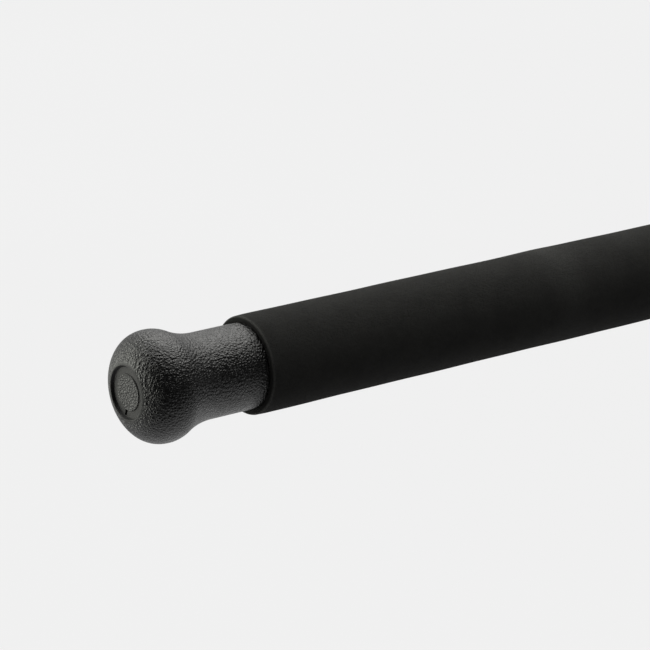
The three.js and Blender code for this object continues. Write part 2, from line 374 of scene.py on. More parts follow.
def vertex_places(piece, at_tip):
    """The x, radius and turn of each of the piece's vertices, measured from its own end of the stick."""
    flat = np.empty(len(piece.data.vertices) * 3)
    piece.data.vertices.foreach_get("co", flat)
    places = flat.reshape(-1, 3)
    x, y, z = (turn_to_tip(places) if at_tip else places).T
    return x, np.hypot(y, z), np.arctan2(z, y)


def settle(piece, body, material, slot, *nodes):
    """Finish a piece: its material, its body, and the CAD nodes that it stands for. The slot argument is
    not used.
    """
    piece.data.materials.append(material)
    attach(piece, body)
    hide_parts(*nodes)


# Shader nodes.


def put(tree, kind, **values):
    """A node of a kind, with its settings and its inputs' values given by name."""
    node = tree.nodes.new(kind)
    for name, value in values.items():
        if hasattr(node, name):
            setattr(node, name, value)
        else:
            node.inputs[name.replace("_", " ")].default_value = value
    return node


def wire(tree, source, target):
    tree.links.new(source, target)


def math_node(tree, operation, first, second):
    """A Math node whose inputs are sockets or plain numbers; returns its output."""
    node = tree.nodes.new("ShaderNodeMath")
    node.operation = operation
    for socket, value in zip(node.inputs, (first, second)):
        if isinstance(value, bpy.types.NodeSocket):
            wire(tree, value, socket)
        else:
            socket.default_value = value
    return node.outputs[0]


def ramp(tree, source, low, high, low_value=0.0, high_value=1.0):
    """Source remapped from low..high to the two values, with a smooth step between."""
    node = put(tree, "ShaderNodeMapRange", interpolation_type="SMOOTHSTEP")
    wire(tree, source, node.inputs["Value"])
    limits = {"From Min": low, "From Max": high, "To Min": low_value, "To Max": high_value}
    for name, value in limits.items():
        node.inputs[name].default_value = value
    return node.outputs["Result"]


def blend_colours(tree, factor, first, second):
    """A colour mix by a factor socket; each colour is a socket or an RGB value."""
    node = put(tree, "ShaderNodeMix", data_type="RGBA")
    wire(tree, factor, node.inputs["Factor"])
    for socket, value in zip((node.inputs[6], node.inputs[7]), (first, second)):
        if isinstance(value, bpy.types.NodeSocket):
            wire(tree, value, socket)
        else:
            socket.default_value = (*value, 1)
    return node.outputs[2]


def effect(name, inputs, outputs):
    """An empty shader node group with float inputs and outputs; returns its tree and its two end nodes."""
    tree = bpy.data.node_groups.new(name, "ShaderNodeTree")
    for label, default in inputs.items():
        socket = tree.interface.new_socket(label, in_out="INPUT", socket_type="NodeSocketFloat")
        socket.default_value = default
    for label in outputs:
        tree.interface.new_socket(label, in_out="OUTPUT", socket_type="NodeSocketFloat")
    return tree, tree.nodes.new("NodeGroupInput"), tree.nodes.new("NodeGroupOutput")


def leather_grain():
    """Pebbled leather grain: warped cells with rounded tops and narrow valleys, and fine tooth on top."""
    sizes = {"Cell size": 0.0009, "Tooth": 0.25}
    tree, given, result = effect("Leather grain", sizes, ["Height", "Valley"])
    place = tree.nodes.new("ShaderNodeTexCoord").outputs["Object"]
    per_metre = math_node(tree, "DIVIDE", 1.0, given.outputs["Cell size"])
    warp = put(tree, "ShaderNodeTexNoise", Detail=2.0)
    wire(tree, place, warp.inputs["Vector"])
    wire(tree, math_node(tree, "MULTIPLY", per_metre, 0.9), warp.inputs["Scale"])
    shift = put(tree, "ShaderNodeVectorMath", operation="SCALE")
    wire(tree, warp.outputs["Color"], shift.inputs[0])
    wire(tree, math_node(tree, "MULTIPLY", given.outputs["Cell size"], 0.9), shift.inputs["Scale"])
    moved = put(tree, "ShaderNodeVectorMath", operation="ADD")
    wire(tree, place, moved.inputs[0])
    wire(tree, shift.outputs[0], moved.inputs[1])
    cells = put(tree, "ShaderNodeTexVoronoi", feature="SMOOTH_F1", Smoothness=0.35)
    edges = put(tree, "ShaderNodeTexVoronoi", feature="DISTANCE_TO_EDGE")
    for pattern in (cells, edges):
        wire(tree, moved.outputs[0], pattern.inputs["Vector"])
        wire(tree, per_metre, pattern.inputs["Scale"])
    dome = ramp(tree, cells.outputs["Distance"], 0.1, 0.75, 1.0, 0.0)
    valley = ramp(tree, edges.outputs["Distance"], 0.0, 0.26, 1.0, 0.0)
    tooth = put(tree, "ShaderNodeTexNoise", Detail=3.0)
    wire(tree, place, tooth.inputs["Vector"])
    wire(tree, math_node(tree, "MULTIPLY", per_metre, 4.0), tooth.inputs["Scale"])
    fine = math_node(tree, "MULTIPLY", tooth.outputs["Fac"], given.outputs["Tooth"])
    raised = math_node(tree, "SUBTRACT", dome, math_node(tree, "MULTIPLY", valley, 0.35))
    wire(tree, math_node(tree, "ADD", raised, fine), result.inputs["Height"])
    wire(tree, valley, result.inputs["Valley"])
    return tree


def foam_pores():
    """Closed-cell foam: fine cut cells of two sizes, and a soft mottle from how the skin was ground."""
    tree, given, result = effect("Foam pores", {"Pore size": 0.0003}, ["Height", "Pore", "Mottle"])
    place = tree.nodes.new("ShaderNodeTexCoord").outputs["Object"]
    per_metre = math_node(tree, "DIVIDE", 1.0, given.outputs["Pore size"])
    fine = put(tree, "ShaderNodeTexVoronoi", feature="F1")
    coarse = put(tree, "ShaderNodeTexNoise", Detail=4.0, Roughness=0.65)
    mottle = put(tree, "ShaderNodeTexNoise", Scale=110.0, Detail=6.0, Roughness=0.7)
    for pattern in (fine, coarse, mottle):
        wire(tree, place, pattern.inputs["Vector"])
    wire(tree, per_metre, fine.inputs["Scale"])
    wire(tree, math_node(tree, "MULTIPLY", per_metre, 0.3), coarse.inputs["Scale"])
    pore = ramp(tree, fine.outputs["Distance"], 0.1, 0.55, 1.0, 0.0)
    height = math_node(tree, "SUBTRACT", coarse.outputs["Fac"], math_node(tree, "MULTIPLY", pore, 0.45))
    wire(tree, height, result.inputs["Height"])
    wire(tree, pore, result.inputs["Pore"])
    wire(tree, mottle.outputs["Fac"], result.inputs["Mottle"])
    return tree


def drawn_lines():
    """Fine lines along X, as a drawn tube has, and a slow change from place to place."""
    sizes = {"Line width": 0.0001, "Line length": 0.02}
    tree, given, result = effect("Drawn lines", sizes, ["Lines", "Patches"])
    place = tree.nodes.new("ShaderNodeTexCoord").outputs["Object"]
    parts = tree.nodes.new("ShaderNodeSeparateXYZ")
    wire(tree, place, parts.inputs[0])
    squeezed = tree.nodes.new("ShaderNodeCombineXYZ")
    for axis, size in (("X", "Line length"), ("Y", "Line width"), ("Z", "Line width")):
        line = math_node(tree, "DIVIDE", parts.outputs[axis], given.outputs[size])
        wire(tree, line, squeezed.inputs[axis])
    lines = put(tree, "ShaderNodeTexNoise", Scale=1.0, Detail=2.0)
    wire(tree, squeezed.outputs[0], lines.inputs["Vector"])
    patches = put(tree, "ShaderNodeTexNoise", Scale=45.0, Detail=3.0)
    wire(tree, place, patches.inputs["Vector"])
    wire(tree, lines.outputs["Fac"], result.inputs["Lines"])
    wire(tree, patches.outputs["Fac"], result.inputs["Patches"])
    return tree


def fine_tooth():
    """The even tooth of a spark-eroded mould or a cast surface."""
    tree, given, result = effect("Fine tooth", {"Tooth size": 0.0002}, ["Height", "Patches"])
    place = tree.nodes.new("ShaderNodeTexCoord").outputs["Object"]
    tooth = put(tree, "ShaderNodeTexNoise", Detail=4.0, Roughness=0.6)
    patches = put(tree, "ShaderNodeTexNoise", Scale=60.0, Detail=3.0)
    wire(tree, place, tooth.inputs["Vector"])
    wire(tree, place, patches.inputs["Vector"])
    wire(tree, math_node(tree, "DIVIDE", 1.0, given.outputs["Tooth size"]), tooth.inputs["Scale"])
    wire(tree, tooth.outputs["Fac"], result.inputs["Height"])
    wire(tree, patches.outputs["Fac"], result.inputs["Patches"])
    return tree


EFFECTS = {}


def use_effect(tree, maker, **values):
    """A node of a shared effect, which is made the first time."""
    if maker.__name__ not in EFFECTS:
        EFFECTS[maker.__name__] = maker()
    node = tree.nodes.new("ShaderNodeGroup")
    node.node_tree = EFFECTS[maker.__name__]
    for name, value in values.items():
        node.inputs[name.replace("_", " ")].default_value = value
    return node


def new_material(name, **constants):
    """A material with a Principled BSDF whose plain values are set; returns it, its tree and the shader."""
    material = bpy.data.materials.new(name)
    material.use_nodes = True
    shader = material.node_tree.nodes["Principled BSDF"]
    for label, value in constants.items():
        shader.inputs[label.replace("_", " ")].default_value = value
    return material, material.node_tree, shader


def bump(tree, shader, height, depth):
    """Height, from 0 to 1, raises the surface by up to depth metres."""
    node = put(tree, "ShaderNodeBump", Strength=1.0, Distance=depth)
    wire(tree, height, node.inputs["Height"])
    wire(tree, node.outputs["Normal"], shader.inputs["Normal"])


def grained_plastic(colour, cell_size):
    """Black moulded plastic: leather grain with rougher valleys, darkened with painted shade, where the
    grain attribute is 1, else satin.
    """
    material, tree, shader = new_material("Grained plastic", Specular_IOR_Level=0.5)
    grain = use_effect(tree, leather_grain, Cell_size=cell_size, Tooth=0.1)
    where = put(tree, "ShaderNodeAttribute", attribute_name="grain")
    smooth = use_effect(tree, fine_tooth, Tooth_size=0.00018)
    grained = math_node(tree, "MULTIPLY", grain.outputs["Height"], where.outputs["Fac"])
    toothed = math_node(tree, "MULTIPLY", smooth.outputs["Height"], 0.12)
    bump(tree, shader, math_node(tree, "ADD", grained, toothed), 0.00014)
    valley = math_node(tree, "MULTIPLY", grain.outputs["Valley"], where.outputs["Fac"])
    # Painted shade: the grain's valleys are given a darker colour.
    darker = tuple(0.55 * c for c in colour)
    wire(tree, blend_colours(tree, valley, colour, darker), shader.inputs["Base Color"])
    rough = ramp(tree, smooth.outputs["Patches"], 0.3, 0.7, 0.6, 0.68)
    polish = math_node(tree, "MULTIPLY", where.outputs["Fac"], 0.45)
    dulled = math_node(tree, "MULTIPLY", valley, 0.22)
    rough = math_node(tree, "ADD", math_node(tree, "SUBTRACT", rough, polish), dulled)
    wire(tree, rough, shader.inputs["Roughness"])
    return material


def disc_plastic(colour):
    """The knob's plastic with a finer, denser grain, and painted shade in its valleys."""
    material, tree, shader = new_material("Disc plastic", Specular_IOR_Level=0.5)
    grain = use_effect(tree, leather_grain, Cell_size=0.00085, Tooth=0.3)
    bump(tree, shader, grain.outputs["Height"], 0.00013)
    # Painted shade: the grain's valleys are given a darker colour.
    darker = tuple(0.6 * c for c in colour)
    wire(tree, blend_colours(tree, grain.outputs["Valley"], colour, darker), shader.inputs["Base Color"])
    wire(tree, ramp(tree, grain.outputs["Height"], 0.0, 1.0, 0.6, 0.26), shader.inputs["Roughness"])
    return material


def foam(colour, pore_size):
    """Black closed-cell foam with a random mottle, painted shade in its pores, and a painted highlight
    where a vertex attribute marks the mouth's lit edge and the swelling's lit side.
    """
    material, tree, shader = new_material(
        "EVA foam", Specular_IOR_Level=0.04, Diffuse_Roughness=0.8, Sheen_Weight=0.012, Sheen_Roughness=0.6
    )
    pores = use_effect(tree, foam_pores, Pore_size=pore_size)
    bump(tree, shader, pores.outputs["Height"], 0.0004)
    painted_highlight = put(tree, "ShaderNodeAttribute", attribute_name="painted_highlight")
    pore_shade_colour, darker, lighter, highlight_colour = (tuple(k * c for c in colour) for k in (0.5, 0.86, 1.12, 2.4))
    ground = blend_colours(tree, ramp(tree, pores.outputs["Mottle"], 0.3, 0.7), darker, lighter)
    # Painted highlight: paler foam where the vertex attribute marks the mouth's lit edge and the swelling's
    # lit side.
    highlighted = blend_colours(tree, painted_highlight.outputs["Fac"], ground, highlight_colour)
    # Painted shade: the pores are darkened as if in shadow.
    shaded_pores = math_node(tree, "MULTIPLY", pores.outputs["Pore"], 0.85)
    wire(tree, blend_colours(tree, shaded_pores, highlighted, pore_shade_colour), shader.inputs["Base Color"])
    wire(tree, ramp(tree, pores.outputs["Mottle"], 0.3, 0.7, 0.88, 0.96), shader.inputs["Roughness"])
    return material


def tube_metal(name, colour, dark_colour, roughness, line_depth):
    """Anodised drawn aluminium: fine lines along the tube in its colour, gloss and relief."""
    material, tree, shader = new_material(name, Metallic=1.0)
    drawn = use_effect(tree, drawn_lines, Line_width=0.00012, Line_length=0.03)
    tone = blend_colours(tree, drawn.outputs["Lines"], dark_colour, colour)
    wire(tree, tone, shader.inputs["Base Color"])
    lines = ramp(tree, drawn.outputs["Lines"], 0.3, 0.7, roughness - 0.05, roughness + 0.05)
    patches = ramp(tree, drawn.outputs["Patches"], 0.3, 0.7, -0.03, 0.03)
    wire(tree, math_node(tree, "ADD", lines, patches), shader.inputs["Roughness"])
    bump(tree, shader, drawn.outputs["Lines"], line_depth)
    return material


def toothed_material(name, colour, dark_colour, roughness, tooth_size, depth, **constants):
    """A moulded, plated or turned surface with an even fine tooth and slow changes of tone."""
    material, tree, shader = new_material(name, **constants)
    tooth = use_effect(tree, fine_tooth, Tooth_size=tooth_size)
    patches = ramp(tree, tooth.outputs["Patches"], 0.3, 0.7)
    wire(tree, blend_colours(tree, patches, dark_colour, colour), shader.inputs["Base Color"])
    rough = ramp(tree, tooth.outputs["Height"], 0.2, 0.8, roughness - 0.06, roughness + 0.06)
    wire(tree, rough, shader.inputs["Roughness"])
    bump(tree, shader, tooth.outputs["Height"], depth)
    return material


# Pieces.


def bulb_profile(settings, rim_x, radius):
    """The knob from its rim to its neck, as (x, r).

    The front is a superellipse about (bulb_x, 0): the powers of x / dome_length and r / radius add up to
    one. Behind it a convex arc about (bulb_x, radius - back) and a concave arc about (bulb_x + run,
    neck + throat) touch on the line between their centres.
    """

    def dome_x(r):
        return settings.dome_length * np.clip(1 - (r / radius) ** power, 0, 1) ** (1 / power)

    power = settings.dome_power
    back, throat = settings.back_radius, settings.throat_radius
    bulb_x = rim_x + dome_x(settings.rim_radius)
    dome_r = radius * np.sin(np.linspace(math.asin(settings.rim_radius / radius), math.pi / 2, 44))
    back_r = radius - back
    throat_r = settings.neck_radius + throat
    run = math.sqrt((back + throat) ** 2 - (throat_r - back_r) ** 2)
    lean = math.atan2(throat_r - back_r, run)
    front = np.column_stack([bulb_x - dome_x(dome_r), dome_r])
    behind = arc((bulb_x, back_r), (back, back), math.pi / 2, lean, 22)
    waist = arc((bulb_x + run, throat_r), (throat, throat), math.pi + lean, 1.5 * math.pi, 30)
    return np.vstack([front, behind[1:], waist[1:]])


def knob_profile(settings, prefix, body):
    """The whole knob: bulb, neck, spigot, wedge cone, bore, recess floor, and recess wall with its rim.

    The wall's foot is a quarter circle, and its rim an arc of 72 degrees.
    """
    rim_x, spigot_x, radius = span_from_end(f"{prefix}_knob", prefix == "tip")
    shoulder_x, cone_x, seat_x = 54 * MM, 80 * MM, 22 * MM
    spigot_slip, chamfer = 0.3 * MM, 0.8 * MM
    cone_r, cone_end_r, screw_r, hole_r = 8.8 * MM, 4.5 * MM, 3.3 * MM, 5.6 * MM
    spigot_r = span(f"{body}_tube")[2] - TUBE_WALL - spigot_slip
    inside = np.array([
        (shoulder_x, settings.neck_radius),
        (shoulder_x, spigot_r),
        (spigot_x - chamfer, spigot_r),
        (spigot_x, spigot_r - chamfer),
        (spigot_x, cone_r),
        (cone_x, cone_end_r),
        (cone_x, screw_r),
        (seat_x, screw_r),
        (seat_x, hole_r),
    ])
    roll, foot, floor_points = 0.35 * MM, 0.2 * MM, 16
    foot_r = settings.recess_radius - foot
    floor_x = rim_x + settings.recess_depth
    floor = np.column_stack([np.full(floor_points, floor_x), np.linspace(hole_r, foot_r, floor_points)])
    wall = arc((floor_x - foot, foot_r), (foot, foot), 0, math.pi / 2, 5)[1:]
    rim = arc((rim_x + roll, settings.rim_radius), (roll, roll), 1.4 * math.pi, math.pi, 8)[:-1]
    return np.vstack([bulb_profile(settings, rim_x, radius), inside, floor, wall, rim])


class STICK_OT_knobs(bpy.types.Operator):
    """Make the two knobs with their round end recesses and discs"""

    bl_idname = "stick.knobs"
    bl_label = "Knobs"

    def execute(self, context):
        settings = context.scene.stick_knob
        colour = tuple(settings.colour)
        plastic = grained_plastic(colour, settings.grain_size)
        disc_finish = disc_plastic(tuple(1.1 * c for c in colour))
        grain_start, grain_fade = settings.rim_radius + 0.3 * MM, 0.8 * MM
        outside_end = 60 * MM
        for prefix, body in ENDS:
            at_tip = prefix == "tip"
            profile = stations(knob_profile(settings, prefix, body), 1.2 * MM)
            knob = turned(f"{prefix}_knob_skin", profile, 240, sink=self.pry_notch, at_tip=at_tip)
            x, r, _ = vertex_places(knob, at_tip)
            grain = np.clip((r - grain_start) / grain_fade, 0, 1) * (x < outside_end)
            mark_vertices(knob, "grain", grain)
            settle(knob, body, plastic, "grained_plastic", f"{prefix}_knob")
            disc = self.make_disc(prefix, at_tip)
            settle(disc, body, disc_finish, "disc_plastic", f"{prefix}_end_disc")
        return {"FINISHED"}

    def pry_notch(self, x, r, t):
        """A radial slot in the recess floor beside the disc, where a blade lifts the disc out.

        It spans two radii, and half its width on each side of its middle line. Its depth grows evenly
        inwards from those edges, and is full a short way inside them.
        """
        turn, depth, fade = 1.363, 1 * MM, 0.2 * MM
        inner, outer, half_width = 6.2 * MM, 8.4 * MM, 0.55 * MM
        floor_end = 1 * MM
        across = np.abs(r * np.sin(t + turn))
        facing = np.cos(t + turn) > 0
        width = np.clip((half_width - across) / fade, 0, 1)
        length = np.clip((r - inner) / fade, 0, 1) * np.clip((outer - r) / fade, 0, 1)
        return depth * width * length * facing * (x < floor_end)

    def make_disc(self, prefix, at_tip):
        """A flat round head whose edge is a quarter ellipse, and the stem that holds it in the knob."""
        low, high, radius = span(f"{prefix}_end_disc")
        stem_end = high - low
        thickness, slope, stem_r = 0.4 * MM, 0.35 * MM, 5.3 * MM
        rings = 14
        flat = np.column_stack([np.zeros(rings), np.linspace(0, radius - slope, rings)])
        rolled = arc((thickness, radius - slope), (thickness, slope), math.pi, math.pi / 2, 8)[1:]
        rest = np.array([(thickness, stem_r), (stem_end, stem_r), (stem_end, 0)])
        profile = np.vstack([flat, rolled, rest])
        return turned(f"{prefix}_disc_skin", profile, 128, closed_profile=False, at_tip=at_tip)


class STICK_OT_grips(bpy.types.Operator):
    """Make the two foam grips"""

    bl_idname = "stick.grips"
    bl_label = "Foam grips"

    def execute(self, context):
        settings = context.scene.stick_grip
        finish = foam(tuple(settings.colour), settings.pore_size)
        for prefix, body in ENDS:
            grip = self.make_grip(context, prefix, span(f"{body}_tube")[2])
            settle(grip, body, finish, "eva_foam", f"{prefix}_grip")
        return {"FINISHED"}

    def make_grip(self, context, prefix, tube_radius):
        """A foam sleeve that narrows to its cut mouth, with a painted highlight marked along the mouth's
        outer edge and on the lit side of the handle's swelling.
        """
        settings = context.scene.stick_grip
        at_tip = prefix == "tip"
        start, end, radius = span_from_end(f"{prefix}_grip", at_tip)
        mouth = context.scene.stick_knob.neck_radius + settings.mouth_clearance
        bore = tube_radius + TUBE_SLIP
        neck_end = 55.5 * MM
        lip = settings.mouth_radius
        outline = filleted([
            (start, lip, 0.9 * MM),
            (start + settings.mouth_taper, radius, 40 * MM),
            (end, radius, 1.4 * MM),
            (end, bore, 0.25 * MM),
            (neck_end + 1 * MM, bore, 0.3 * MM),
            (neck_end, mouth, 0.3 * MM),
            (start, mouth, 0.1 * MM),
        ], 8)
        swell_x, swell_width, swell_height, swell_turn = 178 * MM, 9 * MM, 0.2 * MM, 1.9

        def swelling(x, t):
            """On the handle only: a bell curve along X times a wave, 1 on one side and 0 opposite."""
            if at_tip:
                return np.zeros_like(x)
            bell = np.exp(-(((x - swell_x) / swell_width) ** 2))
            return bell * (0.5 + 0.5 * np.cos(t - swell_turn))

        def relief(x, r, t):
            """Three slow sine waves that wind round the grip, and the swelling, fading out at the bore."""
            waves = np.sin(95 * x + 2 * t) + 0.7 * np.sin(210 * x - 3 * t + 1)
            waves = waves + 0.5 * np.sin(37 * x + t + 2)
            outside = np.clip((r - mouth) / (radius - mouth), 0, 1)
            return outside * (settings.unevenness * (0.35 * waves - 0.6) + swell_height * swelling(x, t))

        grip = turned(f"{prefix}_grip_skin", stations(outline, 1.1 * MM), 144, relief, at_tip=at_tip)
        x, r, t = vertex_places(grip, at_tip)
        # Painted highlight: a paler band round the mouth's rounded outer edge, where the light falls on it,
        # and on the side of the swelling that faces the light.
        ridge_x, ridge_r, ridge_width = start + 0.35 * MM, lip - 0.2 * MM, 0.4 * MM
        edge_highlight = np.clip(1.5 - np.hypot(x - ridge_x, r - ridge_r) / ridge_width, 0, 1)
        mark_vertices(grip, "painted_highlight", np.maximum(0.35 * swelling(x, t), edge_highlight))
        return grip


class STICK_OT_tubes(bpy.types.Operator):
    """Make the handle tube and the extension tube with its setting rings"""

    bl_idname = "stick.tubes"
    bl_label = "Tubes"

    def execute(self, context):
        settings = context.scene.stick_tube
        black = tube_metal(
            "Black anodised tube", (0.032, 0.033, 0.036), (0.018, 0.018, 0.02), 0.34, 0.00001
        )
        bright = tube_metal(
            "Satin anodised tube", (0.62, 0.63, 0.64), (0.5, 0.51, 0.52), 0.3, 0.00001
        )
        start, end, radius = span("handle_tube")
        edge, bore = settings.edge_break, radius - TUBE_WALL
        corners = [(start, radius, edge), (end, radius, edge), (end, bore, edge), (start, bore, edge)]
        handle_tube = turned("handle_tube_skin", stations(filleted(corners), 4 * MM), 128)
        settle(handle_tube, "handle", black, "black_anodised", "handle_tube")

        start, end, radius = span("extension_tube")
        bore, floor_r = radius - TUBE_WALL, radius - settings.mark_depth
        groove, groove_edge = 0.8 * MM, 0.05 * MM
        marks = 6
        first = span("lock_nut")[1] - marks * settings.mark_spacing
        corners = [(start, radius, edge)]
        for x in first + settings.mark_spacing * np.arange(marks):
            corners += [
                (x - groove, radius, groove_edge),
                (x - groove / 2, floor_r, groove_edge),
                (x + groove / 2, floor_r, groove_edge),
                (x + groove, radius, groove_edge),
            ]
        corners += [(end, radius, edge), (end, bore, edge), (start, bore, edge)]
        extension_tube = turned("extension_tube_skin", stations(filleted(corners, 3), 4 * MM), 128)
        settle(extension_tube, "extension", bright, "satin_aluminium", "extension_tube")
        return {"FINISHED"}


class STICK_OT_collar(bpy.types.Operator):
    """Make the lock collar and its two rivets"""

    bl_idname = "stick.collar"
    bl_label = "Lock collar"

    def execute(self, context):
        colour = tuple(context.scene.stick_lock.colour)
        nylon = toothed_material(
            "Lock nylon", colour, tuple(0.75 * c for c in colour), 0.42, 0.00022, 0.00002
        )
        steel = toothed_material(
            "Rivet steel", (0.42, 0.42, 0.43), (0.3, 0.3, 0.31), 0.32, 0.0003, 0.000008, Metallic=1.0
        )
        start, face, stop_r = span("lock_collar")
        _, tube_end, tube_r = span("handle_tube")
        skirt_r, thread_r, mouth_r = 16.6 * MM, 15.4 * MM, 14.4 * MM
        stop_x, thread_x, cone_x = 413 * MM, 415.5 * MM, 440 * MM
        skirt_end = stop_x - 2.2 * MM
        seat, guide = tube_r + TUBE_SLIP, 12.25 * MM
        collar = filleted([
            (start, skirt_r, 0.8 * MM),
            (skirt_end, skirt_r, 1.6 * MM),
            (stop_x, stop_r, 0.5 * MM),
            (thread_x, stop_r, 0.5 * MM),
            (thread_x, thread_r, 0.3 * MM),
            (face, thread_r, 0.5 * MM),
            (face, mouth_r, 0.15 * MM),
            (cone_x, guide, 1 * MM),
            (tube_end + TUBE_SLIP, guide, 0.1 * MM),
            (tube_end + TUBE_SLIP, seat, 0.1 * MM),
            (start, seat, 0.3 * MM),
        ])
        flutes = self.finger_flutes((start + skirt_end) / 2, skirt_r)
        body = turned("lock_collar_skin", stations(collar, 1.5 * MM), 160, flutes)
        settle(body, "handle", nylon, "lock_plastic", "lock_collar")
        for number, side in ((1, 1), (2, -1)):
            rivet = self.make_rivet(number, side, skirt_r)
            settle(rivet, "handle", steel, "rivet_steel", f"lock_rivet_{number}")
        return {"FINISHED"}

    def finger_flutes(self, middle, skirt_r):
        """Four shallow flutes in the skirt: a squared cosine across, and a squared parabola along X."""
        flutes, depth, half_length, reach = 4, 0.35 * MM, 5.5 * MM, 0.9 * MM

        def relief(x, r, t):
            across = np.clip(np.cos(flutes * t - np.pi), 0, 1) ** 2
            along = np.clip(1 - ((x - middle) / half_length) ** 2, 0, 1) ** 2
            return -depth * across * along * (r > skirt_r - reach)

        return relief

    def make_rivet(self, number, side, skirt_r):
        """A rivet turned about Y: a shank, and a head whose dome is a quarter ellipse."""
        low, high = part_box(f"lock_rivet_{number}")
        centre_x = (low[0] + high[0]) / 2
        head_r = (high[0] - low[0]) / 2
        outer = max(abs(low[1]), abs(high[1]))
        inner = min(abs(low[1]), abs(high[1]))
        base = skirt_r + 0.1 * MM
        shank_r, sides = 1.5 * MM, 48
        shank = [(inner, 0), (inner, shank_r), (base, shank_r)]
        dome = arc((base, 0), (outer - base, head_r), math.pi / 2, 0, 12)
        profile = np.vstack([shank, dome])
        t = np.arange(sides) * 2 * np.pi / sides
        x = profile[:, :1] * np.ones(sides)
        r = profile[:, 1:] * np.ones(sides)
        points = np.stack([centre_x + side * r * np.sin(t), side * x, -r * np.cos(t)], axis=2)
        return surface(f"lock_rivet_{number}_skin", points, closed_profile=False)


class STICK_OT_twist_nut(bpy.types.Operator):
    """Make the twist nut, its ribbed soft band and its dust ring"""

    bl_idname = "stick.twist_nut"
    bl_label = "Twist nut"

    def execute(self, context):
        settings = context.scene.stick_lock
        nylon = bpy.data.materials["Lock nylon"]
        rubber = toothed_material(
            "Soft rubber", (0.011, 0.011, 0.0108), (0.008, 0.008, 0.008), 0.62, 0.00025, 0.00003
        )
        start, end, flange_r = span("lock_nut")
        band_start, band_end, _ = span("lock_nut_grip")
        ring_start, ring_end, ring_r = span("lock_dust_ring")
        press_x, nose_x = band_end + 2.1 * MM, end - 5.2 * MM
        shell_r, bore, nose_r, lip = 17.1 * MM, 15.65 * MM, 15 * MM, 12.4 * MM
        gap = 0.1 * MM
        shell = filleted([
            (start, flange_r, 0.6 * MM),
            (band_start - gap, flange_r, 0.35 * MM),
            (band_start - gap, shell_r, 0.05 * MM),
            (band_end + gap, shell_r, 0.05 * MM),
            (band_end + gap, flange_r, 0.35 * MM),
            (nose_x, flange_r, 2.5 * MM),
            (end, nose_r, 0.8 * MM),
            (end, lip, 0.6 * MM),
            (ring_end + gap, lip, 0.1 * MM),
            (ring_end + gap, ring_r + gap, 0.1 * MM),
            (ring_start - gap, ring_r + gap, 0.1 * MM),
            (ring_start - gap, lip, 0.1 * MM),
            (press_x, lip, 0.1 * MM),
            (press_x, bore, 0.2 * MM),
            (start, bore, 0.3 * MM),
        ])
        nut = turned("lock_nut_skin", stations(shell, 1.5 * MM), 160)
        settle(nut, "twist_nut", nylon, "lock_plastic", "lock_nut")

        outside = flange_r - 0.05 * MM
        band_skin, fade = 0.6 * MM, 1.6 * MM
        band_outline = filleted([
            (band_start, outside, 0.5 * MM),
            (band_end, outside, 0.5 * MM),
            (band_end, shell_r + gap, 0.05 * MM),
            (band_start, shell_r + gap, 0.05 * MM),
        ])

        def ribs(x, r, t):
            """Flutes of depth one minus the power 0.6 of a wave from 0 to 1, fading out at both ends."""
            flute = 1 - (0.5 + 0.5 * np.cos(settings.ribs * t)) ** 0.6
            ends = np.clip(np.minimum(x - band_start, band_end - x) / fade - 0.3, 0, 1)
            return -settings.rib_depth * flute * ends * (r > shell_r + band_skin)

        band = turned("lock_band_skin", stations(band_outline, 0.5 * MM), settings.ribs * 12, ribs)
        settle(band, "twist_nut", rubber, "soft_rubber", "lock_nut_grip")

        tube_r = span("extension_tube")[2]
        wiper = tube_r + 0.15 * MM
        ring = filleted([
            (ring_start, ring_r, 0.4 * MM),
            (ring_end, ring_r, 0.4 * MM),
            (ring_end, wiper, 0.3 * MM),
            (ring_start, wiper, 0.3 * MM),
        ])
        dust_ring = turned("dust_ring_skin", ring, 128)
        settle(dust_ring, "twist_nut", rubber, "soft_rubber", "lock_dust_ring")
        return {"FINISHED"}


class STICK_OT_inner_pieces(bpy.types.Operator):
    """Finish the pieces inside the stick"""

    bl_idname = "stick.inner_pieces"
    bl_label = "Inner pieces"

    def execute(self, context):
        zinc = toothed_material(
            "Zinc plated steel", (0.5, 0.5, 0.52), (0.38, 0.39, 0.4), 0.3, 0.0004, 0.000006, Metallic=1.0
        )
        black = toothed_material(
            "Black oxide steel",
            (0.055, 0.055, 0.06),
            (0.035, 0.035, 0.038),
            0.42,
            0.0003,
            0.00001,
            Metallic=1.0,
        )
        acetal = toothed_material(
            "White acetal", (0.72, 0.71, 0.67), (0.64, 0.63, 0.59), 0.4, 0.0004, 0.00001
        )
        stop = toothed_material(
            "Stop nylon", (0.05, 0.05, 0.052), (0.038, 0.038, 0.04), 0.5, 0.0003, 0.00002
        )
        bar = tube_metal("Turned steel bar", (0.26, 0.26, 0.27), (0.17, 0.17, 0.175), 0.38, 0.00001)
        steel = bpy.data.materials["Rivet steel"]
        rubber = bpy.data.materials["Soft rubber"]
        finishes = {
            zinc: [
                "handle_knob_washer",
                "handle_wedge_nut",
                "tip_knob_washer",
                "tip_wedge_nut",
                "lock_thrust_washer",
            ],
            black: ["handle_knob_screw", "tip_knob_screw"],
            acetal: ["lock_collet", "extension_glide", "weight_plug"],
            stop: ["extension_stop"],
            bar: ["tip_weight"],
            steel: ["stop_pin_1", "stop_pin_2"],
            rubber: ["weight_pad"],
        }
        for finish, nodes in finishes.items():
            for node in nodes:
                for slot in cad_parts[node].material_slots:
                    slot.material = finish
        return {"FINISHED"}


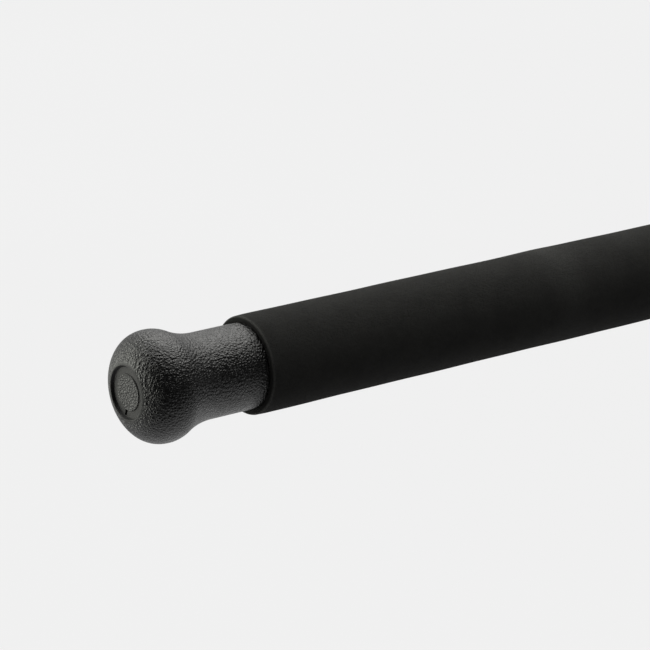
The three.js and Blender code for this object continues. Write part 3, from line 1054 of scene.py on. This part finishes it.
class STICK_OT_stage(bpy.types.Operator):
    """Make the floor, the soft lights, the pale surroundings and the camera"""

    bl_idname = "stick.stage"
    bl_label = "Stage"

    def execute(self, context):
        settings = context.scene.stick_stage
        self.make_floor(settings)
        self.make_lights(settings)
        self.make_surroundings(context.scene)
        self.make_camera(context.scene)
        context.scene.view_settings.view_transform = "Standard"
        return {"FINISHED"}

    def make_floor(self, settings):
        """A wide pale sheet, mostly self-lit so that it stays even, with a faint mottle."""
        low, high = CAD_BOX
        middle = (low[0] + high[0]) / 2
        z = low[2] - settings.floor_drop
        half = 6.0
        turns = ((-1, -1), (1, -1), (1, 1), (-1, 1))
        corners = [(middle + half * i, half * j, z) for i, j in turns]
        mesh = bpy.data.meshes.new("floor")
        mesh.from_pydata(corners, [], [(0, 1, 2, 3)])
        floor = bpy.data.objects.new("floor", mesh)
        bpy.context.scene.collection.objects.link(floor)
        material, tree, shader = new_material(
            "Pale floor", Roughness=1.0, Specular_IOR_Level=0.0, Emission_Strength=1.0
        )
        place = tree.nodes.new("ShaderNodeTexCoord").outputs["Object"]
        cloud = put(tree, "ShaderNodeTexNoise", Scale=1.5, Detail=1.0)
        wire(tree, place, cloud.inputs["Vector"])
        tone = blend_colours(tree, cloud.outputs["Fac"], (0.862, 0.862, 0.862), (0.882, 0.882, 0.882))
        wire(tree, tone, shader.inputs["Emission Color"])
        shader.inputs["Base Color"].default_value = (0.002, 0.002, 0.002, 1)
        floor.data.materials.append(material)
        floor.visible_diffuse = floor.visible_glossy = floor.visible_shadow = False

    def make_lights(self, settings):
        """A broad softbox over the stick, and an upright one behind the handle's end, each aimed at it."""
        aim = Vector((0.05, 0, 0))
        overhead = ((0.47, 0.34, 1.06), (1.8, 1.8), settings.overhead_power, (1.0, 0.995, 0.965))
        side_panel = ((-0.84, 1.2, 0.05), (1.3, 1.6), settings.side_power, (0.99, 1.0, 0.91))
        panels = {"overhead": overhead, "side_panel": side_panel}
        for name, (place, size, power, tint) in panels.items():
            data = bpy.data.lights.new(name, "AREA")
            data.shape = "RECTANGLE"
            data.size, data.size_y = size
            data.energy = power
            data.color = tint
            lamp = bpy.data.objects.new(name, data)
            lamp.location = place
            lamp.rotation_euler = (aim - Vector(place)).to_track_quat("-Z", "Y").to_euler()
            lamp.visible_camera = False
            bpy.context.scene.collection.objects.link(lamp)

    def make_surroundings(self, scene):
        """Evenly pale when seen directly. As light they are bright behind and below, and dim in front."""
        world = bpy.data.worlds.new("pale_surroundings")
        world.use_nodes = True
        tree = world.node_tree
        tree.nodes.clear()
        direction = tree.nodes.new("ShaderNodeTexCoord").outputs["Generated"]
        parts = tree.nodes.new("ShaderNodeSeparateXYZ")
        wire(tree, direction, parts.inputs[0])
        level = ramp(tree, parts.outputs["Y"], -0.1, 0.6, 0.07, 0.5)
        lean = math_node(tree, "MULTIPLY", parts.outputs["X"], 0.3)
        lowness = math_node(tree, "SUBTRACT", parts.outputs["Z"], lean)
        below = ramp(tree, lowness, -0.9, -0.25, 1.0, 0.0)
        glow = put(tree, "ShaderNodeBackground")
        wire(tree, math_node(tree, "MAXIMUM", level, below), glow.inputs["Strength"])
        seen = put(tree, "ShaderNodeBackground", Color=(0.872, 0.872, 0.872, 1), Strength=1.0)
        path = tree.nodes.new("ShaderNodeLightPath")
        choice = tree.nodes.new("ShaderNodeMixShader")
        wire(tree, path.outputs["Is Camera Ray"], choice.inputs[0])
        wire(tree, glow.outputs[0], choice.inputs[1])
        wire(tree, seen.outputs[0], choice.inputs[2])
        output = tree.nodes.new("ShaderNodeOutputWorld")
        wire(tree, choice.outputs[0], output.inputs["Surface"])
        scene.world = world

    def make_camera(self, scene):
        """The camera looks down at the knob's end of the stick from its left."""
        azimuth, elevation = math.radians(-37.2), math.radians(17.4)
        target = Vector((59 * MM, 0, 0))
        distance, sideways, upwards = 1.05575, 0.016984, 0.011301
        back = Vector((
            math.sin(azimuth) * math.cos(elevation),
            -math.cos(azimuth) * math.cos(elevation),
            math.sin(elevation),
        ))
        right = Vector((math.cos(azimuth), math.sin(azimuth), 0))
        up = back.cross(right)
        data = bpy.data.cameras.new("camera")
        data.lens = 174.53
        data.clip_start, data.clip_end = 0.01, 50
        camera = bpy.data.objects.new("camera", data)
        camera.matrix_world = Matrix.Translation(
            target + back * distance + right * sideways + up * upwards
        ) @ Matrix((right, up, back)).transposed().to_4x4()
        scene.collection.objects.link(camera)
        scene.camera = camera


class STICK_PT_panel(bpy.types.Panel):
    """The stick's sizes, colours and building steps"""

    bl_idname = "STICK_PT_panel"
    bl_label = "Swing trainer stick"
    bl_space_type = "VIEW_3D"
    bl_region_type = "UI"
    bl_category = "Stick"

    def draw(self, context):
        for name, group in GROUPS.items():
            box = self.layout.box()
            box.label(text=group.__name__.replace("Settings", ""))
            for prop in group.__annotations__:
                box.prop(getattr(context.scene, name), prop)
        for step in STEPS:
            self.layout.operator(step.bl_idname)


STEPS = (
    STICK_OT_knobs,
    STICK_OT_grips,
    STICK_OT_tubes,
    STICK_OT_collar,
    STICK_OT_twist_nut,
    STICK_OT_inner_pieces,
    STICK_OT_stage,
)
CLASSES = (*GROUPS.values(), *STEPS, STICK_PT_panel)


def register():
    for cls in CLASSES:
        bpy.utils.register_class(cls)
    for name, group in GROUPS.items():
        setattr(bpy.types.Scene, name, PointerProperty(type=group))


def unregister():
    for name in GROUPS:
        delattr(bpy.types.Scene, name)
    for cls in reversed(CLASSES):
        bpy.utils.unregister_class(cls)


def main():
    register()
    for step in STEPS:
        family, action = step.bl_idname.split(".")
        getattr(getattr(bpy.ops, family), action)()


if __name__ == "__main__":
    main()
